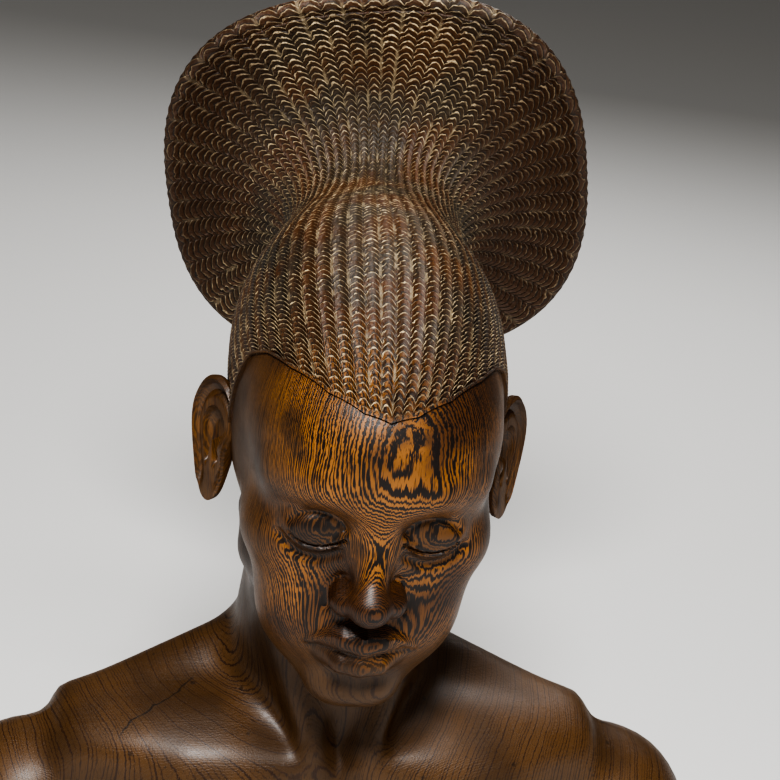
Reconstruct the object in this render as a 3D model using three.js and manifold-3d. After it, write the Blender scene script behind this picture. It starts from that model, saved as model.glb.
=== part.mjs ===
// Ship figurehead: a life-size bust carved from one block of hardwood. A bowed head with a long skull
// carries a close cap of hair that narrows to a waist and flares into a broad, nearly upright disc.
// The bust is cut flat through the upper chest and stands on that cut.
// Millimetres, +Z up, face towards -Y. The origin is the middle of the flat cut.
import * as THREE from "three";
import { mergeVertices } from "three/addons/utils/BufferGeometryUtils.js";
import Module from "manifold-3d";

const { clamp, degToRad, lerp, radToDeg, smoothstep } = THREE.MathUtils;

// ---- Driving dimensions ----
const HEAD_BREADTH = 150;
const FACE_THIRD = 68; // hairline to brow, brow to nose base, nose base to chin
const SHOULDER_BREADTH = 440;
const SHOULDER_ROLL = degToRad(0.8); // left shoulder higher
const SHOULDER_PIVOT = 200; // height about which the shoulders are tilted
const EAR_HEIGHT = 258; // ear openings above the flat cut
const EAR_FORWARD = 25; // ear openings in front of the neck's foot
const HEAD_BOW = degToRad(12);
const HEAD_TURN = degToRad(-4);
const SKULL_RISE = degToRad(6); // the long skull rises backwards from the ear line
const CAP_RELIEF = 1.6; // the hair stands this proud of the skin
const WAIST_RADIUS = 49;
const WAIST_AT = 158; // along the skull's axis from the cap's centre
const FLARE_DEPTH = 54;
const DISC_HALF_WIDTH = 124;
const DISC_HALF_HEIGHT = 122;
const DISC_SQUARENESS = 2.6; // exponent of the rim's oval: 2 is an ellipse
const DISC_LEAN = degToRad(-2); // the disc's top leans forward of square to the axis
const DISC_ROLL = degToRad(-12); // the oval stands this far round from the head's upright
const DISC_THICKNESS = 11;
const TUBE_SWAY = 0.085; // the drawn-out hair veers to one side by this share of its length
const DISH_DEPTH = 12;
const EAR_LENGTH = 73;
const EAR_WIDTH = 38;

// Heights on the face by the rule of thirds, above the ear openings.
const BROW_Z = 36;
const NOSE_BASE_Z = BROW_Z - FACE_THIRD;
const CHIN_Z = NOSE_BASE_Z - FACE_THIRD;
const MOUTH_Z = NOSE_BASE_Z - FACE_THIRD / 3;
const EYE_Z = 15;
const EYE_X = HEAD_BREADTH / 5;

// ---- Field tools: a point is [x, y, z] and a field is the distance to a surface, negative inside ----

// An ellipsoid, true close to its surface; pitch lifts its back end about X.
function ellipsoid([x, y, z], [cx, cy, cz], [rx, ry, rz], pitch = 0) {
  const dy = y - cy;
  const dz = z - cz;
  const u = (x - cx) / rx;
  const v = (dy * Math.cos(pitch) + dz * Math.sin(pitch)) / ry;
  const w = (dz * Math.cos(pitch) - dy * Math.sin(pitch)) / rz;
  const k0 = Math.hypot(u, v, w);
  const k1 = Math.hypot(u / rx, v / ry, w / rz);
  return k1 < 1e-9 ? -Math.min(rx, ry, rz) : (k0 * (k0 - 1)) / k1;
}

// A limb between two points, its radius running from ra to rb.
function limb([x, y, z], [ax, ay, az], [bx, by, bz], ra, rb) {
  const [ex, ey, ez] = [bx - ax, by - ay, bz - az];
  const along = (x - ax) * ex + (y - ay) * ey + (z - az) * ez;
  const t = clamp(along / (ex * ex + ey * ey + ez * ez), 0, 1);
  return Math.hypot(x - ax - t * ex, y - ay - t * ey, z - az - t * ez) - lerp(ra, rb, t);
}

// Joins two fields with a fillet of about k.
function join(a, b, k) {
  const h = Math.max(k - Math.abs(a - b), 0) / k;
  return Math.min(a, b) - (h * h * k) / 4;
}

// Cuts field b out of field a, softening the edge by about k.
const hollow = (a, b, k) => -join(-a, b, k);

// ---- The head's frame: origin between the ear openings, turned about Z and bowed ----
const [BOW_COS, BOW_SIN] = [Math.cos(HEAD_BOW), Math.sin(HEAD_BOW)];
const [TURN_COS, TURN_SIN] = [Math.cos(HEAD_TURN), Math.sin(HEAD_TURN)];

function fromHead([x, y, z]) {
  const back = y * BOW_COS + z * -BOW_SIN;
  const up = y * BOW_SIN + z * BOW_COS;
  return [x * TURN_COS - back * TURN_SIN, x * TURN_SIN + back * TURN_COS - EAR_FORWARD, up + EAR_HEIGHT];
}

function toHead([px, py, pz]) {
  const [y, z] = [py + EAR_FORWARD, pz - EAR_HEIGHT];
  const back = y * TURN_COS - px * TURN_SIN;
  return [px * TURN_COS + y * TURN_SIN, back * BOW_COS + z * BOW_SIN, z * BOW_COS - back * BOW_SIN];
}

// ---- Masses of the head in its own frame; the two sides are alike ----
function headField([px, y, z]) {
  const p = [Math.abs(px), y, z];
  let f = ellipsoid(p, [0, 22, 44], [HEAD_BREADTH / 2, 118, 82], SKULL_RISE);
  f = join(f, ellipsoid(p, [0, -40, 44], [62, 54, 52]), 22); // forehead
  f = join(f, ellipsoid(p, [0, -2, 4], [69, 48, 48]), 20); // sides about the ears
  f = join(f, ellipsoid(p, [0, -38, -10], [60, 54, 66]), 20); // face
  f = join(f, limb(p, [47, -12, -50], [13, -76, CHIN_Z + 14], 16, 14), 18); // jaw
  f = join(f, ellipsoid(p, [0, -42, -56], [42, 48, 38]), 14); // floor of the mouth
  f = join(f, ellipsoid(p, [0, -84, CHIN_Z + 14], [19, 15, 14]), 14); // chin
  f = join(f, ellipsoid(p, [46, -55, -8], [19, 22, 17]), 20); // cheekbone
  f = join(f, ellipsoid(p, [28, -62, -44], [26, 26, 32]), 20); // cheek
  f = join(f, ellipsoid(p, [0, -79, NOSE_BASE_Z - 18], [29, 24, 26]), 14); // muzzle
  f = join(f, limb(p, [7, -84, BROW_Z], [46, -64, BROW_Z - 1], 11, 9), 14); // brow
  f = hollow(f, ellipsoid(p, [EYE_X, -102, EYE_Z - 1], [17, 15, 11]), 10); // eye socket
  f = join(f, ellipsoid(p, [EYE_X + 0.5, -77, EYE_Z - 3], [18, 14, 12.5]), 6); // closed lids
  f = join(f, limb(p, [0, -84, 22], [0, -106, NOSE_BASE_Z + 12], 8, 10), 13); // nose
  f = join(f, ellipsoid(p, [12, -97, NOSE_BASE_Z + 8], [8, 10, 8]), 8); // nostril wing
  f = join(f, limb(p, [0, -100, MOUTH_Z + 6.5], [22, -88, MOUTH_Z + 2], 9, 5), 5); // upper lip
  f = join(f, limb(p, [0, -99, MOUTH_Z - 8], [21, -88, MOUTH_Z - 4], 10, 5), 5); // lower lip
  return hollow(f, limb(p, [0, -106, MOUTH_Z], [22, -92, MOUTH_Z], 2.6, 1.6), 4); // line of the mouth
}

// ---- Masses of the neck and shoulders in the bust's frame ----
const DELTOID_X = SHOULDER_BREADTH / 2 - 44;
const NECK_FOOT = [0, 20, 90];
const NECK_TOP = fromHead([0, 12, -20]);

function bodyField([px, y, pz]) {
  const x = px * Math.cos(SHOULDER_ROLL) + (pz - SHOULDER_PIVOT) * Math.sin(SHOULDER_ROLL);
  const z = (pz - SHOULDER_PIVOT) * Math.cos(SHOULDER_ROLL) - px * Math.sin(SHOULDER_ROLL) + SHOULDER_PIVOT;
  const p = [Math.abs(x), y, z];
  let f = ellipsoid(p, [0, 8, 0], [150, 84, 108]); // rib cage
  f = join(f, limb([px, y, pz], NECK_FOOT, NECK_TOP, 59, 52), 16); // neck
  f = join(f, limb(p, [22, 32, 131], [144, 12, 83], 25, 20), 22); // trapezius
  f = join(f, limb(p, [60, -10, 72], [DELTOID_X - 4, 2, 50], 38, 32), 26); // chest to shoulder
  f = join(f, ellipsoid(p, [84, -14, 86], [66, 34, 22]), 24); // slope over the collarbone
  f = join(f, ellipsoid(p, [140, 4, 78], [26, 28, 17]), 20); // point of the shoulder
  f = join(f, ellipsoid(p, [DELTOID_X, 4, 33], [45, 47, 48]), 11); // deltoid
  f = join(f, limb(p, [DELTOID_X, 6, 22], [DELTOID_X + 2, 8, -60], 41, 38), 16); // upper arm
  f = join(f, ellipsoid(p, [68, -36, 4], [74, 44, 76]), 24); // breast muscle
  f = join(f, limb(p, [14, -48, 86], [84, -42, 84], 8.5, 8), 16); // collarbone, inner half
  f = join(f, limb(p, [84, -42, 84], [156, -8, 80], 8, 7.5), 16); // collarbone, outer half
  f = join(f, limb(p, [50, -8, 226], [16, -49, 98], 12, 7.5), 9); // neck muscle to the breastbone
  f = hollow(f, limb(p, [166, -50, 83], [166, 4, 100], 5, 5), 16); // groove before the deltoid
  f = hollow(f, limb(p, [166, 4, 100], [166, 50, 81], 5, 5), 16); // groove behind it
  return hollow(f, ellipsoid(p, [0, -67, 102], [10, 16, 15]), 10); // notch over the breastbone
}

const figureField = (p) => join(headField(toHead(p)), bodyField(p), 10);

// ---- Surface finding and moulding ----
const RAY_LIMIT = 420;
const SHORTEST_STEP = 0.4;
const HALVINGS = 22;

// Follows a ray from a point inside a field to where it first leaves it.
function leave(field, origin, ray) {
  const at = (d) => origin.map((c, i) => c + ray[i] * d);
  let [near, far] = [0, 0];
  let depth = field(origin);
  while (depth < 0 && far < RAY_LIMIT) {
    near = far;
    far += Math.max(-depth * 0.7, SHORTEST_STEP);
    depth = field(at(far));
  }
  for (let i = 0; i < HALVINGS; i++) {
    const middle = (near + far) / 2;
    if (field(at(middle)) < 0) near = middle;
    else far = middle;
  }
  return at(far);
}

// Moulds a sphere: place(turn, row) gives each vertex, turn running 0 to 1 round and row pole to pole.
function moulded(around, rows, place) {
  const geometry = new THREE.SphereGeometry(1, around, rows);
  const { position, uv } = geometry.attributes;
  for (let i = 0; i < position.count; i++) {
    const row = Math.round((1 - uv.getY(i)) * rows);
    const column = row === 0 || row === rows ? 0 : Math.round(uv.getX(i) * around) % around;
    position.setXYZ(i, ...place(column / around, row));
  }
  geometry.deleteAttribute("normal");
  geometry.deleteAttribute("uv");
  return mergeVertices(geometry, 1e-4);
}

// Reads the values between two rows of a table whose rows are [position, ...values].
function between(table, at) {
  const next = Math.max(1, table.findIndex(([position]) => position >= at));
  const [a, b] = [table[next - 1], table[next]];
  const t = (at - a[0]) / (b[0] - a[0]);
  return a.slice(1).map((value, i) => lerp(value, b[i + 1], t));
}

// ---- Figure: head, neck and shoulders as one skin, from the crown down to the flat cut ----
const FIGURE_ROWS = 58;
const FIGURE_AROUND = 60;
const FRONT_CROWDING = 0.3; // draws the columns towards the front

// How the rays that find the skin are set, from the crown down: share of the way down, height of the
// ray's foot, its place front to back, its reach sideways, and its elevation at the side, front and back.
const FIGURE_RAYS = [
  [0, 275, -10, 0, 90, 90, 90],
  [0.05, 275, -14, 0, 66, 58, 74],
  [0.1, 270, -20, 0, 46, 40, 60],
  [0.2, 262, -25, 0, 30, 20, 45],
  [0.29, 262, -25, 0, 16, 7, 30],
  [0.37, 256, -25, 0, 6, -3, 18],
  [0.46, 250, -25, 0, -4, -17, 8],
  [0.51, 247, -25, 0, -10, -27, 3],
  [0.57, 242, -25, 0, -18, -37, -2],
  [0.63, 236, -24, 0, -27, -49, -8],
  [0.67, 226, -22, 0, -34, -62, -8],
  [0.71, 190, -12, 0, -18, -44, -5],
  [0.745, 158, -4, 0, 0, -16, 0],
  [0.77, 136, 0, 0, 10, -4, 3],
  [0.785, 124, 0, 12, 22, 2, 6],
  [0.805, 108, 0, 32, 44, 8, 10],
  [0.84, 82, 1, 64, 64, 20, 15],
  [0.875, 64, 2, 96, 62, 15, 13],
  [0.905, 52, 3, 116, 44, 8, 7],
  [0.935, 46, 4, 124, 20, -2, -2],
  [0.96, 40, 5, 126, 0, -10, -10],
  [0.98, 20, 6, 126, 0, -5, -5],
  [1, 0, 6, 126, 0, 0, 0],
];

function figurePoint(turn, row) {
  const share = row / (FIGURE_ROWS - 1);
  if (share > 1) return [0, 6, 0];
  const [z, y, reach, side, front, back] = between(FIGURE_RAYS, share);
  const round = 2 * Math.PI * turn - FRONT_CROWDING * Math.sin(2 * Math.PI * turn);
  const bearing = round + HEAD_TURN * (1 - smoothstep(share, 0.66, 0.8));
  const ahead = Math.cos(round);
  const rise = degToRad(lerp(side, ahead > 0 ? front : back, ahead * ahead));
  const flat = Math.cos(rise);
  const ray = [Math.sin(bearing) * flat, -Math.cos(bearing) * flat, Math.sin(rise)];
  return leave(figureField, [reach * Math.sin(bearing), y, z], ray);
}

// ---- Coiffure: cap, waist, flare, rim and dished back, about the skull's long axis ----
const CAP_CENTRE = [0, 12, 40];
const AXIS = [0, Math.cos(SKULL_RISE), Math.sin(SKULL_RISE)];
const ACROSS = [0, -Math.sin(SKULL_RISE), Math.cos(SKULL_RISE)];
const COIFFURE_AROUND = 44;
const CAP_ROWS = 14;
const FLARE_ROWS = 9;
const ROLL_ROWS = 4;
const DISH_ROWS = 4;
const ROOT_ROWS = 2; // buried inside the head
const ROOT_DEPTH = 7;

// The hairline: [angle round from the top, angle from the axis], low on the brow with square temples.
const HAIRLINE = [
  [0, 152],
  [15, 149],
  [30, 141],
  [44, 127],
  [54, 113],
  [64, 104],
  [90, 100],
  [115, 96],
  [150, 78],
  [180, 70],
];

// A point in the head's frame from its place along the axis, out from it, and its angle from the top.
function aboutAxis(along, out, angle) {
  const up = Math.cos(angle) * out;
  return [
    TUBE_SWAY * Math.max(along, 0) + Math.sin(angle) * out,
    CAP_CENTRE[1] + AXIS[1] * along + ACROSS[1] * up,
    CAP_CENTRE[2] + AXIS[2] * along + ACROSS[2] * up,
  ];
}

function hairline(angle) {
  const [polar] = between(HAIRLINE, Math.abs(radToDeg(Math.atan2(Math.sin(angle), Math.cos(angle)))));
  return degToRad(polar);
}

// The head with the drawn-out hair that runs back to the waist.
const hairField = (p) =>
  join(headField(p), limb(p, aboutAxis(60, 0, 0), aboutAxis(WAIST_AT + 12, 0, 0), 57, WAIST_RADIUS), 34);

function capPoint(angle, share, proud) {
  const polar = lerp(hairline(angle), Math.PI / 2, Math.min(1, share * 1.4));
  const foot = aboutAxis(WAIST_AT * Math.pow(share, 1.2), 0, 0);
  const tip = aboutAxis(WAIST_AT * Math.pow(share, 1.2) + Math.cos(polar), Math.sin(polar), angle);
  const ray = tip.map((c, i) => c - foot[i]);
  return leave(hairField, foot, ray).map((c, i) => c + ray[i] * proud);
}

function rimRadius(angle) {
  const across = Math.abs(Math.sin(angle - DISC_ROLL)) / DISC_HALF_WIDTH;
  const upright = Math.abs(Math.cos(angle - DISC_ROLL)) / DISC_HALF_HEIGHT;
  return Math.pow(across ** DISC_SQUARENESS + upright ** DISC_SQUARENESS, -1 / DISC_SQUARENESS);
}

// Where the disc's front lies along the axis, at a distance out from it.
const discFront = (angle, out) =>
  WAIST_AT + FLARE_DEPTH - out * (Math.cos(angle) * Math.tan(DISC_LEAN) + Math.sin(angle) * TUBE_SWAY);

function flarePoint(angle, share) {
  const waist = capPoint(angle, 1, CAP_RELIEF);
  const centre = aboutAxis(WAIST_AT, 0, 0);
  const root = Math.hypot(...waist.map((c, i) => c - centre[i]));
  const rim = rimRadius(angle);
  const sweep = (share * Math.PI) / 2;
  const along = lerp(WAIST_AT, discFront(angle, rim), Math.sin(sweep));
  return aboutAxis(along, lerp(root, rim, 1 - Math.cos(sweep)), angle);
}

function rollPoint(angle, share) {
  const [rim, half] = [rimRadius(angle), DISC_THICKNESS / 2];
  const swing = share * Math.PI;
  return aboutAxis(discFront(angle, rim) + half * (1 - Math.cos(swing)), rim + half * Math.sin(swing), angle);
}

function dishPoint(angle, share) {
  const out = rimRadius(angle) * (1 - share);
  const dish = DISH_DEPTH * smoothstep(share, 0, 0.8);
  return aboutAxis(discFront(angle, out) + DISC_THICKNESS - dish, out, angle);
}

const ROOT_START = -30; // along the skull's axis
const rootPoint = (angle, share) =>
  share === 0 ? aboutAxis(ROOT_START, 0, 0) : capPoint(angle, 0, -ROOT_DEPTH / share);

// The bands of the coiffure in order: how many rows each takes and how it places them.
const COIFFURE_BANDS = [
  [ROOT_ROWS, rootPoint],
  [CAP_ROWS, (angle, share) => capPoint(angle, share, CAP_RELIEF)],
  [FLARE_ROWS, flarePoint],
  [ROLL_ROWS, rollPoint],
  [DISH_ROWS, dishPoint],
];
const COIFFURE_ROWS = COIFFURE_BANDS.reduce((sum, [rows]) => sum + rows, 0);

function coiffurePoint(turn, row) {
  const angle = -2 * Math.PI * turn;
  let left = row;
  for (const [rows, place] of COIFFURE_BANDS) {
    if (left < rows) return fromHead(place(angle, left / rows));
    left -= rows;
  }
  return fromHead(dishPoint(0, 1));
}

// ---- Ears: a dished shell with a raised rim, standing off behind the jaw ----
const EAR_AROUND = 22;
const EAR_PLACE = [82, 10, 5];
const EAR_BACK_TILT = degToRad(12);
const EAR_FLARE = degToRad(38);

// [share of the way from the bowl over the rim to the root, part of the outline's radius, height]
const EAR_SECTION = [
  [0, 0, -5],
  [2, 0.34, -5],
  [3, 0.52, 0],
  [4, 0.7, -1.5],
  [5, 0.9, 2.2],
  [6, 1, 0],
  [7, 0.92, -4],
  [9, 0.6, -10],
  [12, 0, -22],
];
const EAR_ROWS = 12;

function earPoint(side, turn, row) {
  const angle = -side * 2 * Math.PI * turn;
  const [reach, height] = between(EAR_SECTION, row);
  const top = smoothstep(Math.cos(angle), -0.6, 0.8);
  const back = Math.sin(angle) * EAR_WIDTH * lerp(0.36, 0.54, top) * reach;
  const up = (Math.cos(angle) * EAR_LENGTH * reach) / 2;
  const out = height * Math.cos(EAR_FLARE) + back * Math.sin(EAR_FLARE);
  const along = back * Math.cos(EAR_FLARE) - height * Math.sin(EAR_FLARE);
  const [lean, rise] = [Math.sin(EAR_BACK_TILT), Math.cos(EAR_BACK_TILT)];
  const [x, y, z] = EAR_PLACE;
  return fromHead([side * (x + out), y + along * rise + up * lean, z + up * rise - along * lean]);
}

// ---- Joining into one solid ----
const wasm = await Module();
wasm.setup();

function toManifold(geometry) {
  const vertProperties = new Float32Array(geometry.attributes.position.array);
  const triVerts = new Uint32Array(geometry.index.array);
  return new wasm.Manifold(new wasm.Mesh({ numProp: 3, vertProperties, triVerts }));
}

function toGeometry(solid) {
  const { vertProperties, triVerts } = solid.getMesh();
  const geometry = new THREE.BufferGeometry();
  geometry.setAttribute("position", new THREE.BufferAttribute(new Float32Array(vertProperties), 3));
  geometry.setIndex(new THREE.BufferAttribute(new Uint32Array(triVerts), 1));
  geometry.computeVertexNormals();
  return geometry;
}

const bust = [
  moulded(COIFFURE_AROUND, COIFFURE_ROWS, coiffurePoint),
  moulded(EAR_AROUND, EAR_ROWS, (turn, row) => earPoint(1, turn, row)),
  moulded(EAR_AROUND, EAR_ROWS, (turn, row) => earPoint(-1, turn, row)),
].reduce(
  (solid, geometry) => solid.add(toManifold(geometry)),
  toManifold(moulded(FIGURE_AROUND, FIGURE_ROWS, figurePoint)),
);

const darkHardwood = new THREE.MeshStandardMaterial({ color: 0x4a2c1c, roughness: 0.45, metalness: 0 });
const figurehead = new THREE.Mesh(toGeometry(bust), darkHardwood);
figurehead.name = "figurehead_bust";

const object = new THREE.Group();
object.name = "ship_figurehead";
object.add(figurehead);

export default object;
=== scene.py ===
"""A life-size bust carved from one block of dark banded hardwood.

A bowed head with closed eyes carries a close cap of braided hair, which is drawn out behind to a waist and
flares into a broad disc. The skin, the hair and the ears are modelled as closed shells and joined into one.
Sizes are in millimetres in the bust's own frame, +Z up and the chest towards -Y, until a mesh is made.
"""

from __future__ import annotations

import logging
import math
from collections.abc import Callable, Sequence
from dataclasses import dataclass, field
from enum import Enum

import bpy
import numpy as np
from mathutils import Matrix, Vector


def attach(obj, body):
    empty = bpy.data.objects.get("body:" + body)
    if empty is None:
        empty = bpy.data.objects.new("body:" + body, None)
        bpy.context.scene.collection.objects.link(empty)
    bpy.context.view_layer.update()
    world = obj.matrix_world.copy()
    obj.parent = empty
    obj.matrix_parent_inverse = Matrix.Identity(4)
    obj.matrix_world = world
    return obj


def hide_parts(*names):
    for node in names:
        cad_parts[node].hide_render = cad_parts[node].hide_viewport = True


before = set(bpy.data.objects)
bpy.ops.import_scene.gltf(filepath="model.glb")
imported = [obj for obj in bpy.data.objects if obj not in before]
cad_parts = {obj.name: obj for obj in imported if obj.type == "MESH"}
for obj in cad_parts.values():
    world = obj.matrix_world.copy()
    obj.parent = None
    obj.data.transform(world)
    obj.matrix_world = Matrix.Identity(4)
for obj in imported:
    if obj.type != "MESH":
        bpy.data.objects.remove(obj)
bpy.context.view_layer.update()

log = logging.getLogger("bust")

Array = np.ndarray
Point = tuple[float, float, float]
Colour = tuple[float, float, float, float]
Depth = Callable[[Array], Array]

MM = 0.001
NODE = "figurehead_bust"


# ---- Clay: shapes that give the distance to their surface, negative inside ----


@dataclass(frozen=True)
class Ball:
    """An ellipsoid of clay whose back end may be lifted.

    Attributes:
        centre: Its middle.
        semi: Its half sizes along X, Y and Z.
        pitch: How far its back end is lifted, in radians.
    """

    centre: Point
    semi: Point
    pitch: float = 0.0

    def distance(self, points: Array) -> Array:
        """Returns each point's distance to the surface, true near it.

        Args:
            points: One point a row.

        Returns:
            One distance a row, negative inside.
        """
        offset = points - np.array(self.centre)
        cos, sin = math.cos(self.pitch), math.sin(self.pitch)
        along = offset[:, 1] * cos + offset[:, 2] * sin
        over = offset[:, 2] * cos - offset[:, 1] * sin
        scaled = np.stack([offset[:, 0], along, over], axis=1) / np.array(self.semi)
        reach = np.sqrt(np.einsum("ij,ij->i", scaled, scaled))
        scaled = scaled / np.array(self.semi)
        slope = np.sqrt(np.einsum("ij,ij->i", scaled, scaled))
        return reach * (reach - 1) / np.maximum(slope, 1e-6)


@dataclass(frozen=True)
class Roll:
    """A rounded roll of clay through points.

    Attributes:
        path: The points it runs through.
        radius: Its radius at the first point.
        end_radius: Its radius at the last point, the same if it's left out.
    """

    path: tuple[Point, ...]
    radius: float
    end_radius: float | None = None

    def distance(self, points: Array) -> Array:
        """Returns each point's distance to the surface.

        Args:
            points: One point a row.

        Returns:
            One distance a row, negative inside.
        """
        end = self.radius if self.end_radius is None else self.end_radius
        radii = np.linspace(self.radius, end, len(self.path))
        nearest = np.full(len(points), np.inf)
        for index in range(len(self.path) - 1):
            start = np.array(self.path[index])
            edge = np.array(self.path[index + 1]) - start
            share = np.clip((points - start) @ edge / (edge @ edge), 0, 1)
            away = points - start - share[:, None] * edge
            radius = radii[index] + share * (radii[index + 1] - radii[index])
            nearest = np.minimum(nearest, np.sqrt(np.einsum("ij,ij->i", away, away)) - radius)
        return nearest


@dataclass(frozen=True)
class Touch:
    """One touch of the modeller's hand.

    Attributes:
        shape: What is laid on or cut away.
        fillet: How softly it blends.
        cut: Whether it is cut away.
    """

    shape: Ball | Roll
    fillet: float
    cut: bool = False


def join(first: Array, second: Array, fillet: float) -> Array:
    """Returns the smooth union of two distances, blended over the fillet."""
    blend = np.maximum(fillet - np.abs(first - second), 0) / fillet
    return np.minimum(first, second) - blend * blend * fillet / 4


def modelled(touches: Sequence[Touch], points: Array) -> Array:
    """Returns the distance to the surface that the touches leave.

    Args:
        touches: The touches in order, the first one laid on bare.
        points: One point a row.

    Returns:
        One distance a row, negative inside.
    """
    depth = touches[0].shape.distance(points)
    for touch in touches[1:]:
        shape = touch.shape.distance(points)
        depth = -join(-depth, shape, touch.fillet) if touch.cut else join(depth, shape, touch.fillet)
    return depth


def folded(points: Array) -> Array:
    """Returns the points with the right half folded over the left, for what is alike on both sides."""
    return np.concatenate([np.abs(points[:, :1]), points[:, 1:]], axis=1)


def find_skin(depth_of: Depth, feet: Array, rays: Array) -> Array:
    """Follows rays from inside a body of clay to where each first leaves it.

    Args:
        depth_of: The body's distance.
        feet: Where each ray starts, one a row.
        rays: The rays' unit directions, one a row.

    Returns:
        The points on the skin, one a row.
    """
    shortest, caution, marches, halvings = 0.5, 0.6, 90, 13
    near = np.zeros(len(feet))
    far = np.zeros(len(feet))
    depth = depth_of(feet)
    for _ in range(marches):
        inside = np.flatnonzero(depth < 0)
        if not len(inside):
            break
        near[inside] = far[inside]
        far[inside] += np.maximum(-depth[inside] * caution, shortest)
        depth[inside] = depth_of(feet[inside] + rays[inside] * far[inside, None])
    for _ in range(halvings):
        middle = (near + far) / 2
        within = depth_of(feet + rays * middle[:, None]) < 0
        near = np.where(within, middle, near)
        far = np.where(within, far, middle)
    return feet + rays * far[:, None]


def smoothstep(low: float, high: float, values: Array | float) -> Array:
    """Returns 0 below low, 1 above high and a smooth rise between."""
    share = np.clip((np.asarray(values, float) - low) / (high - low), 0, 1)
    return share * share * (3 - 2 * share)


# ---- Shells: closed meshes moulded from a sphere ----


def deselect() -> None:
    """Leaves nothing selected."""
    bpy.ops.object.select_all(action="DESELECT")


def moulded(name: str, places: Array) -> tuple[bpy.types.Object, Array, Array]:
    """Adds a UV sphere and moves each of its vertices to its place.

    Args:
        name: The new object's name.
        places: Places in millimetres as [row, column, axis]. Rows run from pole to pole and columns once
            round; the first and last rows hold the poles.

    Returns:
        The object, each vertex's row and each vertex's column.
    """
    rows, around = places.shape[0] - 1, places.shape[1]
    deselect()
    bpy.ops.mesh.primitive_uv_sphere_add(segments=around, ring_count=rows, radius=1.0)
    shell = bpy.context.object
    shell.name = shell.data.name = name
    shell.data.uv_layers.active.name = "braids"
    co = np.empty(len(shell.data.vertices) * 3)
    shell.data.vertices.foreach_get("co", co)
    co = co.reshape(-1, 3)
    row = np.rint(np.arccos(np.clip(co[:, 2], -1, 1)) / math.pi * rows).astype(int)
    column = np.rint(np.arctan2(co[:, 1], co[:, 0]) / math.tau * around).astype(int) % around
    column[(row == 0) | (row == rows)] = 0
    shell.data.vertices.foreach_set("co", (places[row, column] * MM).ravel())
    shell.data.update()
    return shell, row, column


def grid_normals(places: Array) -> Array:
    """Returns the outward unit normals of a grid of places laid out as moulded() takes them."""
    down = np.gradient(places, axis=0)
    round_about = np.roll(places, -1, axis=1) - np.roll(places, 1, axis=1)
    normal = np.cross(down, round_about)
    return normal / np.maximum(np.linalg.norm(normal, axis=2, keepdims=True), 1e-9)


def unite(base: bpy.types.Object, other: bpy.types.Object) -> None:
    """Joins another closed shell into the base by a boolean union, and removes it."""
    deselect()
    bpy.context.view_layer.objects.active = base
    base.select_set(True)
    union = base.modifiers.new("union", "BOOLEAN")
    union.operation = "UNION"
    union.solver = "MANIFOLD"
    union.material_mode = "TRANSFER"
    union.object = other
    bpy.ops.object.modifier_apply(modifier=union.name)
    bpy.data.objects.remove(other)


# ---- Head ----


@dataclass(frozen=True)
class HeadPose:
    """How the head is carried on the neck.

    Attributes:
        height: The ear openings' height above the flat cut.
        forward: How far they are in front of the neck's foot.
        bow: How far the head is bowed, in degrees.
        turn: How far it is turned about Z, in degrees.
    """

    height: float = 258.0
    forward: float = 25.0
    bow: float = 12.0
    turn: float = -4.0

    @property
    def matrix(self) -> Array:
        """The rotation from the head's frame to the bust's."""
        turn = Matrix.Rotation(math.radians(self.turn), 3, "Z")
        return np.array(turn @ Matrix.Rotation(math.radians(self.bow), 3, "X"))

    @property
    def place(self) -> Array:
        """The middle between the ear openings, in the bust's frame."""
        return np.array([0.0, -self.forward, self.height])

    def to_bust(self, points: Array) -> Array:
        """Returns points of the head's frame in the bust's."""
        return points @ self.matrix.T + self.place

    def to_head(self, points: Array) -> Array:
        """Returns points of the bust's frame in the head's."""
        return (points - self.place) @ self.matrix


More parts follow.
